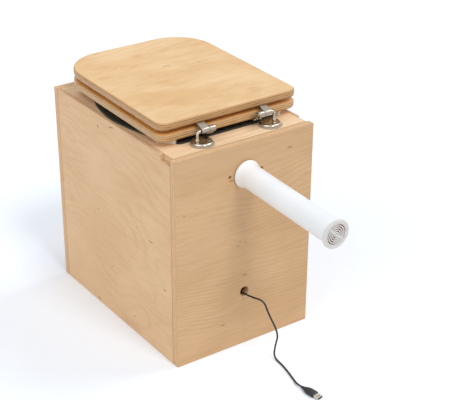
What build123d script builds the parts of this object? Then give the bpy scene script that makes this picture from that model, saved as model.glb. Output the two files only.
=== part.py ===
from build123d import *
import os
from math import cos, pi, radians, sin, tan

os.makedirs("parts", exist_ok=True)

# Millimetres. +X is to the right of someone who faces the front, +Y the rear, +Z up.
# ---- box
BOX_W, BOX_L, BOX_H = 310.0, 444.0, 430.0
PLY = 15.0                      # panels, seat and lid
BASE_T = 12.0
BOARD_T = 12.0                  # lift-off top board
LIP = 6.0                       # what the rebate leaves of a side panel's top
GAP = 0.3                       # clearance between bodies
NOTCH_L = 30.0                  # finger notch at the rear end of each side
ARRIS = 0.8                     # broken edge of the panels
IN_X = BOX_W / 2 - PLY
IN_Y = BOX_L / 2 - PLY
LEDGE_Z = BOX_H - BOARD_T - GAP
BLOCK_W, BLOCK_TOP = 18.0, 400.0
CLEAT_W, CLEAT_H = 12.0, 14.0
# ---- holes in the rear panel
PIPE_Z, PIPE_HOLE_R = 369.0, 24.0
FIX_X, FIX_Z, FIX_R = 36.0, 370.0, 3.25
CABLE_Z, CABLE_R = 118.0, 10.0
# ---- seat and lid, one outline
SEAT_X = -7.5                   # the pair sits a little off the box's centre line
SEAT_HALF, SEAT_Y0, SEAT_Y1 = 155.3, -212.3, 163.7
SEAT_R_FRONT, SEAT_R_REAR = 85.5, 20.0
SEAT_Z, LID_Z = 440.7, 463.3    # undersides, before both are tilted
SEAT_TILT = 1.18                # degrees up at the front, about the hinge axis
EDGE_R, HOLE_EDGE_R = 4.0, 5.0
HOLE_A, HOLE_B, HOLE_Y = 102.0, 125.0, -40.0
REAR_PAD, FRONT_PAD = (125.5, 139.3), (119.3, -176.3)
PAD_L, PAD_W, PAD_TURN = 36.0, 14.0, 45.0
LID_PADS = ((121.0, -120.0), (126.0, 95.0))
LID_PAD_R, LID_PAD_H = 6.0, LID_Z - SEAT_Z - PLY - GAP
# ---- hinges
AXIS_Y, AXIS_Z = 180.0, 455.0
HINGE_DX, HINGE_Y = 76.2, 181.0
ROD_R, ROD_BEND, PIN_DX = 3.0, 6.0, 10.0
ROD_INNER_DX = -28.6            # where the pin ends, towards the middle
EYE_IN, EYE_OUT = 3.05, 6.0
EYE_STEP = 2.8                  # how much narrower than its strap the seat leaf's eye is
WASHER_R, WASHER_T = 23.4, 2.0
ROSETTE_R, ROSETTE_T, ROSETTE_EDGE = 20.6, 5.0, 3.6
BALL_R, BALL_Z = 4.2, 438.8     # foot of the bent pin
STUD_R, STUD_HOLE_R, STUD_L = 3.9, 4.2, 36.0
LEAF_T, LEAF_W, LEAF_Y0 = 2.0, 16.0, 126.0
SEAT_LEAF_DX, LID_LEAF_DX = -30.6, -14.0
LEAF_SCREW_Y = (134.0, 148.0)
SCREW_R, SCREW_HEAD_R, SCREW_L = 1.9, 3.6, 11.0
# ---- insert, bin and canister
FLANGE_T, FLANGE_REAR = 3.0, 161.0
CHUTE_Y, CHUTE_Z = 62.0, 345.0
BOWL_Y, BOWL_Z = -92.0, 378.0
SPOUT_Y, SPOUT_Z, SPOUT_R = -115.0, 272.0, 17.0
BIN_Y, BIN_TOP, BIN_WALL = 71.0, 330.0, 2.5
CAN_Y, CAN_TOP, CAN_WALL = -122.0, 240.0, 3.0
CAN_W, CAN_L, CAN_R, NECK_R = 200.0, 144.0, 24.0, 25.0
# ---- vent
PIPE_R, PIPE_WALL = 23.0, 2.0
PIPE_IN = 13.0                  # how far the pipe reaches into the panel
FLARE_R, FLARE_L = 27.5, 20.0
PIPE_OUT = 252.0                # from the panel to the cap's flange
PIPE_DROOP = 2.85               # degrees, the push-fit pipe sags this much
CAP_R, CAP_T, CAP_RECESS_R, CAP_RECESS = 27.3, 5.0, 20.8, 0.6
CAP_SLOTS = (2.3, 6.25, 10.2, 14.15, 18.1)
SLOT_W, GRILLE_T = 2.0, 3.0
BRIDGE_W, BRIDGE_TURN = 4.0, 41.0    # the bar that holds the cap's rings, and its turn in degrees
MESH_R, MESH_PITCH, WIRE_W = 19.0, 3.0, 0.5
# ---- fan
FAN, FAN_T, FAN_BORE, GASKET_T = 60.0, 15.0, 28.0, 2.0
FAN_Y1 = IN_Y - GASKET_T        # frame's rear face, against the gasket
FAN_Y0 = FAN_Y1 - FAN_T
FAN_HOLE, HUB_R, AXLE_R = 25.0, 13.5, 1.5
BLADES, BLADE_TURN = 7, 38.0
GUARD_RINGS, GUARD_WIRE_R = (7.0, 14.0, 21.0, 28.0), 0.8
SPOKES = (45, 135, 225, 315)
# ---- cord, from the fan down inside the box, out of the cable hole and to the plug
CORD_R = 1.8
LEAD_X, LEAD_Y = 20.0, 201.0
LEAD = [(LEAD_X, LEAD_Y, PIPE_Z - FAN / 2), (LEAD_X, LEAD_Y, 185.0), (6.0, 186.0, 146.0)]
LEAD += [(3.88, 184.2, 109.96), (1.0, 222.0, 113.2)]
CORD = [(1.0, 222.0, 113.2), (-0.6, 243.0, 115.0), (-9.0, 273.0, 119.0), (-13.5, 282.0, 93.0)]
CORD += [(-18.5, 309.0, 60.0), (-17.5, 301.0, 30.0), (-16.0, 298.5, 1.9), (-13.5, 331.0, 1.9)]
CORD += [(-6.5, 362.0, 1.9), (-1.0, 383.0, 1.9), (3.74, 396.62, 4.1), (2.0, 409.0, 4.1)]
CLIP_ZS = (315.0, 268.0, 222.0)
PLUG_TURN = 8.0
BOOT_L, BOOT_R0, BOOT_R1 = 8.0, 2.4, 3.6
PLUG_SHOULDER, PLUG_END, PLUG_W, PLUG_H = 18.0, 34.5, 15.6, 8.0
SHELL_W, SHELL_H, SHELL_L, SHELL_WALL = 12.0, 4.5, 11.8, 0.4


def block(x0, x1, y0, y1, z0, z1):
    mid = Pos((x0 + x1) / 2, (y0 + y1) / 2, (z0 + z1) / 2)
    return mid * Box(x1 - x0, y1 - y0, z1 - z0)


def rod_y(x, z, r, y0, y1):
    return Pos(x, (y0 + y1) / 2, z) * Rot(90, 0, 0) * Cylinder(r, y1 - y0)


def rod_z(x, y, r, z0, z1):
    return Pos(x, y, (z0 + z1) / 2) * Cylinder(r, z1 - z0)


def rounded(w, d, r, x=0.0, y=0.0, z=0.0):
    return Pos(x, y, z) * fillet(Rectangle(w, d).vertices(), r)


def both(shape):
    return [shape, mirror(shape, about=Plane.YZ)]


def group(items):
    return Compound(children=[s for i in items for s in i.solids()])


def out(name, shape):
    solids = shape.solids()
    assert solids, name
    keep = solids[0] if len(solids) == 1 else Compound(children=list(solids))
    export_step(keep, "parts/" + name + ".step")
    print(name, len(solids), "solids, volume", round(sum(s.volume for s in solids)))


# ---------------------------------------------------------------- box
def end_panel(y0, y1):
    h = BOX_W / 2
    p = block(-h, h, y0, y1, 0, BOX_H)
    return fillet(p.edges().filter_by(Axis.Z), ARRIS)


def front_panel():
    return end_panel(-BOX_L / 2, -IN_Y)


def rear_panel():
    """Plain panel with the holes for the pipe, the cord, two fixings and the fan's screws."""
    p = end_panel(IN_Y, BOX_L / 2)
    through = (IN_Y - 1, BOX_L / 2 + 1)
    p -= rod_y(0, PIPE_Z, PIPE_HOLE_R, *through)
    p -= rod_y(0, CABLE_Z, CABLE_R, *through)
    for x in (-FIX_X, FIX_X):
        p -= rod_y(x, FIX_Z, FIX_R, *through)
    for x, z in fan_corners():
        p -= rod_y(x, z, SCREW_R, IN_Y - 1, IN_Y + 9)
    return p


def right_side_panel():
    """Side with a rebate along its top for the board, open at the finger notch."""
    p = block(IN_X, BOX_W / 2, -IN_Y, IN_Y, 0, BOX_H)
    outer = p.faces().sort_by(Axis.X)[-1].edges().filter_by(Axis.Z)
    p = chamfer(outer, ARRIS)
    p -= block(IN_X - 1, BOX_W / 2 - LIP, -IN_Y - 1, IN_Y + 1, LEDGE_Z, BOX_H + 1)
    p -= block(IN_X - 1, BOX_W / 2 + 1, IN_Y - NOTCH_L, IN_Y + 1, LEDGE_Z, BOX_H + 1)
    return p


def base_panel():
    return block(-IN_X, IN_X, -IN_Y, IN_Y, 0, BASE_T)


def glue_blocks():
    b = block(IN_X - BLOCK_W, IN_X, IN_Y - BLOCK_W, IN_Y, BASE_T, BLOCK_TOP)
    rear = both(b)
    front = [mirror(s, about=Plane.XZ) for s in rear]
    return group(rear + front)


def board_cleats():
    c = block(-IN_X, IN_X, IN_Y - CLEAT_W, IN_Y, LEDGE_Z - CLEAT_H, LEDGE_Z)
    return group([c, mirror(c, about=Plane.XZ)])


def container_rails():
    """One rail between bin and canister, and one beside the bin at each side."""
    cross = block(-100, 100, -47, -39, BASE_T, BASE_T + 12)
    side = block(111, 121, 0, 150, BASE_T, BASE_T + 10)
    return group([cross] + both(side))


def solids_bin():
    """Tapered tub with a rolled rim."""
    z0, w = BASE_T + GAP, 2 * BIN_WALL
    foot, mouth, rim = (216, 182, 28), (236, 200, 30), (248, 212, 34)
    body = loft([rounded(*foot, 0, BIN_Y, z0), rounded(*mouth, 0, BIN_Y, BIN_TOP)])
    body += extrude(rounded(*rim, 0, BIN_Y, BIN_TOP - 4), 4)
    low = rounded(foot[0] - w, foot[1] - w, foot[2] - 2, 0, BIN_Y, z0 + 3)
    high = rounded(mouth[0] - w, mouth[1] - w, mouth[2] - 2, 0, BIN_Y, BIN_TOP + 1)
    return body - loft([low, high])


def urine_canister():
    """Closed canister with a round shoulder and a wide neck under the spout."""
    z0, t = BASE_T + GAP, CAN_WALL
    body = extrude(rounded(CAN_W, CAN_L, CAN_R, 0, CAN_Y, z0), CAN_TOP - z0)
    body = fillet(body.edges().group_by(Axis.Z)[-1], 14)
    body += rod_z(0, SPOUT_Y, NECK_R, CAN_TOP - 8, CAN_TOP + 26)
    body += rod_z(0, SPOUT_Y, NECK_R + 3, CAN_TOP + 6, CAN_TOP + 9)
    inner = extrude(rounded(CAN_W - 2 * t, CAN_L - 2 * t, CAN_R - t, 0, CAN_Y, z0 + t), CAN_TOP - z0 - 2 * t)
    inner = fillet(inner.edges().group_by(Axis.Z)[-1], 14 - t)
    return body - inner - rod_z(0, SPOUT_Y, NECK_R - t, CAN_TOP - 20, CAN_TOP + 40)


# ---------------------------------------------------------------- top board and insert
def top_board():
    """Loose board that rests in the side panels' rebates and carries insert and hinges."""
    g = BOX_W / 2 - LIP - 0.5
    z0 = BOX_H - BOARD_T
    b = block(-g, g, -IN_Y + GAP, IN_Y - GAP, z0, BOX_H)
    b -= extrude(rounded(204, 311, 60, 0, -12.5, z0 - 1), BOARD_T + 2)
    for x in hinge_centres():
        b -= rod_z(x, HINGE_Y, STUD_HOLE_R, z0 - 1, BOX_H + 1)
    return b


def flange_outline():
    right = [(0, -196), (75, -179), (124, -116), (144, -52), (148.3, -12)]
    right += [(144.5, 34), (136, 77), (121, 125), (98, 172)]
    pts = right + [(0, 206)] + [(-x, y) for x, y in right[:0:-1]]
    face = make_face(Spline(*pts, periodic=True))
    face -= Pos(0, FLANGE_REAR + 100) * Rectangle(400, 200)
    return fillet(face.vertices().sort_by(Axis.Y)[-2:], 16)


def diverter_insert():
    """Moulded insert: egg-shaped flange, rear chute, front bowl and its spout.
    The flange is cut back round the hinge washers and under the seat's rear pads."""
    top = BOX_H + FLANGE_T
    plate = extrude(Pos(0, 0, BOX_H) * flange_outline(), FLANGE_T)
    plate = fillet(plate.edges().group_by(Axis.Z)[-1], 1.2)
    for x in hinge_centres():
        plate -= rod_z(x, HINGE_Y, WASHER_R + 0.6, BOX_H - 1, top + 1)
    for s in (1, -1):
        pocket = Pos(SEAT_X + s * REAR_PAD[0], REAR_PAD[1], top) * Rot(0, 0, -s * PAD_TURN)
        plate -= pocket * fillet(Box(PAD_L + 3, PAD_W + 3, 10).edges().filter_by(Axis.Z), 4)
    chute = loft([rounded(196, 150, 55, 0, CHUTE_Y, BOX_H + 1), rounded(170, 128, 48, 0, CHUTE_Y, CHUTE_Z)])
    bowl = loft([rounded(180, 140, 60, 0, BOWL_Y, BOX_H + 1), rounded(60, 50, 20, 0, SPOUT_Y, BOWL_Z)])
    spout = rod_z(0, SPOUT_Y, SPOUT_R, SPOUT_Z, BOWL_Z + 2)
    hollow = loft([rounded(190, 144, 52, 0, CHUTE_Y, top + 1), rounded(164, 122, 45, 0, CHUTE_Y, CHUTE_Z - 1)])
    basin = loft([rounded(174, 134, 57, 0, BOWL_Y, top + 1), rounded(54, 44, 17, 0, SPOUT_Y, BOWL_Z + 3)])
    bore = rod_z(0, SPOUT_Y, SPOUT_R - 3, SPOUT_Z - 1, BOWL_Z + 12)
    return plate + chute + bowl + spout - hollow - basin - bore


# ---------------------------------------------------------------- hinges
def hinge_centres():
    return (SEAT_X + HINGE_DX, SEAT_X - HINGE_DX)


def sided(make, sign):
    """Hinge pieces are made for the right and mirrored for the left."""
    s = make()
    s = s if sign > 0 else mirror(s, about=Plane.YZ)
    return Pos(SEAT_X, 0, 0) * s


def washer_shape():
    w = rod_z(HINGE_DX, HINGE_Y, WASHER_R, BOX_H, BOX_H + WASHER_T)
    w = fillet(w.edges().group_by(Axis.Z)[-1], 0.8)
    return w - rod_z(HINGE_DX, HINGE_Y, STUD_HOLE_R, BOX_H - 1, BOX_H + 3)


def rosette_shape():
    """Polished disc with a rounded edge and a seat for the pin's ball."""
    z0 = BOX_H + WASHER_T
    r = rod_z(HINGE_DX, HINGE_Y, ROSETTE_R, z0, z0 + ROSETTE_T)
    r = fillet(r.edges().group_by(Axis.Z)[-1], ROSETTE_EDGE)
    r -= rod_z(HINGE_DX, HINGE_Y, STUD_R + 0.1, z0 - 1, z0 + 2)
    r -= rod_z(HINGE_DX + PIN_DX, AXIS_Y, ROD_R, z0 + 1, z0 + 9)
    return r - Pos(HINGE_DX + PIN_DX, AXIS_Y, BALL_Z) * Sphere(BALL_R + 0.02)


def hinge_pin_shape():
    """Round bar that stands on a ball in the rosette and bends inwards along the axis."""
    x1 = HINGE_DX + PIN_DX
    a, b = (x1, AXIS_Y, BOX_H + 3.2), (x1, AXIS_Y, AXIS_Z)
    c = (HINGE_DX + ROD_INNER_DX, AXIS_Y, AXIS_Z)
    path = FilletPolyline(a, b, c, radius=ROD_BEND)
    start = Plane(origin=a, z_dir=(0, 0, 1))
    rod = sweep(start * Circle(ROD_R - 0.02), path=path)
    return rod + Pos(x1, AXIS_Y, BALL_Z) * Sphere(BALL_R)


def tilted(shape):
    """Seat and lid and all that is fixed to them are made level, then tilted."""
    return Pos(0, AXIS_Y, AXIS_Z) * Rot(-SEAT_TILT, 0, 0) * Pos(0, -AXIS_Y, -AXIS_Z) * shape


def eye_leaf(pts, x0, z0):
    """Flat strap with an eye round the pin and two screw holes. Its profile lies in the YZ plane."""
    ring = Pos(AXIS_Y, AXIS_Z) * (Circle(EYE_OUT) - Circle(EYE_IN))
    strap = make_face(Polyline(*pts, close=True)) - Pos(AXIS_Y, AXIS_Z) * Circle(EYE_IN)
    leaf = extrude(Plane.YZ.offset(x0) * (ring + strap), LEAF_W)
    for y in LEAF_SCREW_Y:
        leaf -= rod_z(x0 + LEAF_W / 2, y, SCREW_R + 0.3, z0 - 1, z0 + LEAF_T + 1)
    return leaf


def lid_leaf_shape():
    """Let into the lid's underside. Its eye is as wide as the strap."""
    z1, z0 = LID_Z + LEAF_T, LID_Z
    pts = [(LEAF_Y0, z0), (166.5, z0), (175.4, 459), (177.5, 457.5), (180.5, 460.9), (166, z1), (LEAF_Y0, z1)]
    return tilted(eye_leaf(pts, HINGE_DX + LID_LEAF_DX, z0))


def seat_leaf_shape():
    """Let into the seat's underside. Its eye and neck stop short of the strap's inner side."""
    z1, z0 = SEAT_Z + LEAF_T, SEAT_Z
    pts = [(LEAF_Y0, z0), (174.5, z0), (179.3, 449.1), (175.5, 452.5), (172.8, 445.5), (171.8, z1), (LEAF_Y0, z1)]
    leaf = eye_leaf(pts, HINGE_DX + SEAT_LEAF_DX, z0)
    inner = HINGE_DX + SEAT_LEAF_DX
    return tilted(leaf - block(inner - 1, inner + EYE_STEP, SEAT_Y1 + 1, BOX_L, z1, LID_Z))


def leaf_screw_places(leaf_dx):
    xs = [SEAT_X + s * (HINGE_DX + leaf_dx + LEAF_W / 2) for s in (1, -1)]
    return [(x, y) for x in xs for y in LEAF_SCREW_Y]


def leaf_screws(leaf_dx, z):
    """Screws driven upwards: a low head under z and the shank above it."""
    items = []
    for x, y in leaf_screw_places(leaf_dx):
        head = rod_z(x, y, SCREW_HEAD_R, z - 1.2, z)
        head = fillet(head.edges().group_by(Axis.Z)[0], 0.8)
        items.append(head + rod_z(x, y, SCREW_R, z - 0.1, z + SCREW_L))
    return group([tilted(s) for s in items])


def hinge_studs():
    return group([rod_z(x, HINGE_Y, STUD_R, BOX_H - STUD_L, BOX_H + STUD_R) for x in hinge_centres()])


def wing_nuts():
    items = []
    z = BOX_H - BOARD_T
    for x in hinge_centres():
        n = rod_z(x, HINGE_Y, 12, z - 2, z) + rod_z(x, HINGE_Y, 7.5, z - 11, z)
        wing = Pos(x, HINGE_Y, z - 11) * Box(32, 3.2, 12)
        n += fillet(wing.edges().filter_by(Axis.Y), 4)
        items.append(n - rod_z(x, HINGE_Y, STUD_R, z - 20, z + 1))
    return group(items)


# ---------------------------------------------------------------- seat and lid
def seat_outline():
    w, d = 2 * SEAT_HALF, SEAT_Y1 - SEAT_Y0
    s = Pos(SEAT_X, (SEAT_Y0 + SEAT_Y1) / 2) * Rectangle(w, d)
    s = fillet(s.vertices().sort_by(Axis.Y)[:2], SEAT_R_FRONT)
    return fillet(s.vertices().sort_by(Axis.Y)[-2:], SEAT_R_REAR)


def panel(z0, leaf_dx):
    """Board of the shared outline with rounded edges, and pockets and pilot holes for its leaves."""
    p = extrude(Pos(0, 0, z0) * seat_outline(), PLY)
    p = fillet(p.edges().group_by(Axis.Z)[-1] + p.edges().group_by(Axis.Z)[0], EDGE_R)
    for x, y in leaf_screw_places(leaf_dx):
        p -= block(x - LEAF_W / 2, x + LEAF_W / 2, LEAF_Y0, SEAT_Y1 + 1, z0 - 1, z0 + LEAF_T)
        p -= rod_z(x, y, SCREW_R, z0 - 1, z0 + SCREW_L + 0.5)
    return p


def seat_ring():
    s = panel(SEAT_Z, SEAT_LEAF_DX)
    s -= extrude(Pos(SEAT_X, HOLE_Y, SEAT_Z - 1) * Ellipse(HOLE_A, HOLE_B), PLY + 2)
    rim = Ellipse(HOLE_A, HOLE_B).edges()[0].length
    return tilted(fillet([e for e in s.edges() if abs(e.length - rim) < 1.0], HOLE_EDGE_R))


def lid_panel():
    return tilted(panel(LID_Z, LID_LEAF_DX))


def seat_bumpers(x, y, turn):
    """Block pads under the seat, one at each side, standing across the corner.
    They are cut level above the board, so the front pair is the taller one."""
    h = 2 * (SEAT_Z - BOX_H)
    p = fillet(Box(PAD_L, PAD_W, h).edges().filter_by(Axis.Z), 3)
    p = Pos(x, y, SEAT_Z - h / 2) * Rot(0, 0, turn) * p
    above = block(-BOX_W, BOX_W, -BOX_L, BOX_L, BOX_H + GAP, BOX_H + 100)
    return group([tilted(Pos(SEAT_X, 0, 0) * s) & above for s in both(p)])


def lid_bumpers():
    items = []
    for x, y in LID_PADS:
        items += both(rod_z(x, y, LID_PAD_R, LID_Z - LID_PAD_H, LID_Z))
    return group([tilted(Pos(SEAT_X, 0, 0) * s) for s in items])


# ---------------------------------------------------------------- vent
def drooped(shape):
    """Pipe pieces are made along +Y from the panel's face, then tilted."""
    return Pos(0, BOX_L / 2 + 1.7, PIPE_Z) * Rot(-PIPE_DROOP, 0, 0) * shape


def vent_pipe():
    """Thin pipe with a bell-shaped collar against the panel."""
    ro, ri = PIPE_R, PIPE_R - PIPE_WALL
    y0, y1 = -PIPE_IN, PIPE_OUT
    collar = FLARE_R - 0.5
    outer = Line((ro, y1), (ro, FLARE_L))
    bell = Spline((ro, FLARE_L), (FLARE_R - 2.9, 10), (collar, 4.0), tangents=((0, -1), (0.25, -1)))
    lip = ThreePointArc((collar, 4.0), (FLARE_R, 1.6), (FLARE_R - 1.1, 0))
    back = Polyline((FLARE_R - 1.1, 0), (ro, 0), (ro, y0), (ri, y0), (ri, y1), (ro, y1))
    return drooped(revolve(make_face(outer + bell + lip + back), Axis.Y))


def vent_end_cap():
    """Flanged cap that plugs the pipe's end. Ring slots go all round its face but for one bar."""
    y0 = PIPE_OUT
    y1 = y0 + CAP_T
    face = y1 - CAP_RECESS
    back = face - GRILLE_T
    c = rod_y(0, 0, CAP_R, y0, y1)
    c = fillet(c.edges().group_by(Axis.Y)[-1] + c.edges().group_by(Axis.Y)[0], 1.4)
    c -= rod_y(0, 0, CAP_RECESS_R, face, y1 + 1)
    bore = PIPE_R - PIPE_WALL
    c += rod_y(0, 0, bore - 0.1, y0 - 10, y0)
    c -= rod_y(0, 0, bore - 1.6, y0 - 11, back)
    bridge = Rot(0, -BRIDGE_TURN, 0) * block(-CAP_R, CAP_R, back - 2, y1 + 2, -BRIDGE_W / 2, BRIDGE_W / 2)
    for r in CAP_SLOTS:
        ring = rod_y(0, 0, r + SLOT_W / 2, back - 1, y1) - rod_y(0, 0, r - SLOT_W / 2, back - 2, y1 + 1)
        c -= ring - bridge
    return drooped(c)


def insect_mesh():
    """Disc of crossed wires in the cap's collar, close behind its ring slots."""
    y, w = PIPE_OUT + CAP_T - CAP_RECESS - GRILLE_T - 0.9, WIRE_W / 2
    disc = rod_y(0, 0, MESH_R, y, y + 0.8)
    wires = disc - rod_y(0, 0, MESH_R - 1, y - 1, y + 2)
    reach = int(MESH_R / MESH_PITCH)
    for i in range(-reach, reach + 1):
        a = MESH_PITCH * i
        wires += disc & block(a - w, a + w, y - 1, y + 2, -MESH_R - 1, MESH_R + 1)
        wires += disc & block(-MESH_R - 1, MESH_R + 1, y - 1, y + 2, a - w, a + w)
    return drooped(wires)


# ---------------------------------------------------------------- fan
def fan_corners():
    return [(x, PIPE_Z + z) for x in (-FAN_HOLE, FAN_HOLE) for z in (-FAN_HOLE, FAN_HOLE)]


def fan_plate(y0, y1, bore):
    """Square plate with a round opening and four screw holes."""
    h = FAN / 2
    p = block(-h, h, y0, y1, PIPE_Z - h, PIPE_Z + h)
    p = fillet(p.edges().filter_by(Axis.Y), 4)
    p -= rod_y(0, PIPE_Z, bore, y0 - 1, y1 + 1)
    for x, z in fan_corners():
        p -= rod_y(x, z, SCREW_R + 0.25, y0 - 1, y1 + 1)
    return p


def fan_gasket():
    return fan_plate(FAN_Y1, IN_Y, 25)


def fan_frame():
    """Frame with a motor cup on four arms and the bush that the rotor's axle turns in."""
    f = fan_plate(FAN_Y0, FAN_Y1, FAN_BORE)
    f += rod_y(0, PIPE_Z, HUB_R, FAN_Y1 - 3, FAN_Y1)
    f += rod_y(0, PIPE_Z, 4, FAN_Y1 - 10, FAN_Y1 - 3)
    for a in SPOKES:
        arm = Pos(20, FAN_Y1 - 1.5, 0) * Box(18, 3, 3.4)
        f += Pos(0, 0, PIPE_Z) * Rot(0, a, 0) * arm
    return f - rod_y(0, PIPE_Z, AXLE_R + 0.05, FAN_Y1 - 11, FAN_Y1 - 2)


def fan_rotor():
    """Hub cup on its axle, with pitched blades."""
    y0 = FAN_Y0 + 1.5
    r = rod_y(0, PIPE_Z, HUB_R, y0, y0 + 9.5) - rod_y(0, PIPE_Z, HUB_R - 1.5, y0 + 1.5, y0 + 10)
    r += rod_y(0, PIPE_Z, AXLE_R, y0 + 1, FAN_Y1 - 2.5)
    for i in range(BLADES):
        blade = Pos(19.6, y0 + 5, 0) * Rot(BLADE_TURN, 0, 0) * Box(13.6, 1.3, 12.0)
        r += Pos(0, 0, PIPE_Z) * Rot(0, i * 360 / BLADES, 0) * blade
    return r


def ring_y(x, y, z, major):
    return Pos(x, y, z) * Rot(90, 0, 0) * Torus(major, GUARD_WIRE_R)


def fan_guard():
    """Wire guard: rings on four spokes, with an eye round each screw."""
    y = FAN_Y0 - 1.2
    g = ring_y(0, y, PIPE_Z, GUARD_RINGS[0])
    for r in GUARD_RINGS[1:]:
        g += ring_y(0, y, PIPE_Z, r)
    for a in SPOKES:
        arm = Pos(18.6, y, 0) * Rot(0, 90, 0) * Cylinder(GUARD_WIRE_R, 28.0)
        g += Pos(0, 0, PIPE_Z) * Rot(0, a, 0) * arm
    for x, z in fan_corners():
        g += ring_y(x, y, z, 3.2)
    return g


def fan_screws():
    items = []
    for x, z in fan_corners():
        head = rod_y(x, z, 4.2, FAN_Y0 - 4.6, FAN_Y0 - 2.1)
        head = fillet(head.edges().group_by(Axis.Y)[0], 1.0)
        items.append(head + rod_y(x, z, SCREW_R - 0.05, FAN_Y0 - 2.5, IN_Y + 8))
    return group(items)


# ---------------------------------------------------------------- cord
def cord_tube(name, route):
    """Straight runs joined by tangent arcs, each as large as its two runs allow."""
    pts = [Vector(*p) for p in route]
    radii = []
    for a, b, c in zip(pts, pts[1:], pts[2:]):
        turn = radians((b - a).get_angle(c - b))
        radii.append(0.45 * min((b - a).length, (c - b).length) / tan(turn / 2))
    path = FilletPolyline(*pts, radius=radii)
    start = Plane(origin=pts[0], z_dir=pts[1] - pts[0])
    tube = sweep(start * Circle(CORD_R), path=path)
    print(name, "runs", [round((b - a).length, 1) for a, b in zip(pts, pts[1:])])
    print(name, "radii", [round(r, 1) for r in radii], "length", round(path.length, 1))
    print(name, "volume", round(tube.volume, 1), "section x length", round(pi * CORD_R ** 2 * path.length, 1))
    return tube


def lead_clips():
    """Saddles on the rear panel that hold the lead."""
    items = []
    for z in CLIP_ZS:
        c = block(LEAD_X - 5, LEAD_X + 5, LEAD_Y - 3.4, IN_Y, z - 4, z + 4)
        c = fillet(c.edges().filter_by(Axis.Z).sort_by(Axis.Y)[:2], 3.0)
        items.append(c - rod_z(LEAD_X, LEAD_Y, CORD_R + 0.05, z - 5, z + 5))
    return group(items)


def on_plug(shape):
    """Plug pieces are made along +Y from the cord's end."""
    return Pos(*CORD[-1]) * Rot(0, 0, PLUG_TURN) * shape


def section(y, w, h, r):
    return Plane(origin=(0, y, 0), x_dir=(1, 0, 0), z_dir=(0, 1, 0)) * fillet(Rectangle(w, h).vertices(), r)


def usb_boot():
    start = (Align.CENTER, Align.CENTER, Align.MIN)
    return on_plug(Rot(-90, 0, 0) * Cone(BOOT_R0, BOOT_R1, BOOT_L, align=start))


def usb_plug_body():
    neck, grip = section(BOOT_L, 9.4, 7.0, 2.4), section(PLUG_SHOULDER, PLUG_W, PLUG_H, 2.4)
    return on_plug(loft([neck, grip]) + extrude(grip, PLUG_END - PLUG_SHOULDER))


def usb_shell():
    w = 2 * SHELL_WALL
    s = extrude(section(PLUG_END, SHELL_W, SHELL_H, 0.6), SHELL_L)
    return on_plug(s - extrude(section(PLUG_END + 0.1, SHELL_W - w, SHELL_H - w, 0.3), SHELL_L + 1))


def usb_tongue():
    return on_plug(extrude(Pos(0, 0, 0.85) * section(PLUG_END + 0.1, 11.0, 1.8, 0.2), 11.0))


# ---------------------------------------------------------------- export
def build():
    side = right_side_panel()
    out("front_panel", front_panel())
    out("rear_panel", rear_panel())
    out("right_side_panel", side)
    out("left_side_panel", mirror(side, about=Plane.YZ))
    out("base_panel", base_panel())
    out("glue_blocks", glue_blocks())
    out("board_cleats", board_cleats())
    out("container_rails", container_rails())
    out("solids_bin", solids_bin())
    out("urine_canister", urine_canister())
    out("vent_pipe", vent_pipe())
    out("vent_end_cap", vent_end_cap())
    out("insect_mesh", insect_mesh())
    out("fan_gasket", fan_gasket())
    out("fan_frame", fan_frame())
    out("fan_guard", fan_guard())
    out("fan_screws", fan_screws())
    out("fan_rotor", fan_rotor())
    out("fan_lead", cord_tube("fan_lead", LEAD))
    out("lead_clips", lead_clips())
    out("usb_cord", cord_tube("usb_cord", CORD))
    out("usb_boot", usb_boot())
    out("usb_plug_body", usb_plug_body())
    out("usb_shell", usb_shell())
    out("usb_tongue", usb_tongue())
    out("top_board", top_board())
    out("diverter_insert", diverter_insert())
    for name, sign in (("right", 1), ("left", -1)):
        out(name + "_hinge_washer", sided(washer_shape, sign))
        out(name + "_rosette", sided(rosette_shape, sign))
        out(name + "_hinge_pin", sided(hinge_pin_shape, sign))
        out(name + "_seat_leaf", sided(seat_leaf_shape, sign))
        out(name + "_lid_leaf", sided(lid_leaf_shape, sign))
    out("hinge_studs", hinge_studs())
    out("wing_nuts", wing_nuts())
    out("seat_ring", seat_ring())
    out("seat_leaf_screws", leaf_screws(SEAT_LEAF_DX, SEAT_Z))
    out("seat_rear_bumpers", seat_bumpers(*REAR_PAD, -PAD_TURN))
    out("seat_front_bumpers", seat_bumpers(*FRONT_PAD, PAD_TURN))
    out("lid_panel", lid_panel())
    out("lid_leaf_screws", leaf_screws(LID_LEAF_DX, LID_Z))
    out("lid_bumpers", lid_bumpers())


build()
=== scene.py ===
from math import atan2, cos, hypot, pi, radians, sin, sqrt

import bmesh
import bpy
from mathutils import Matrix, Vector


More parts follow.
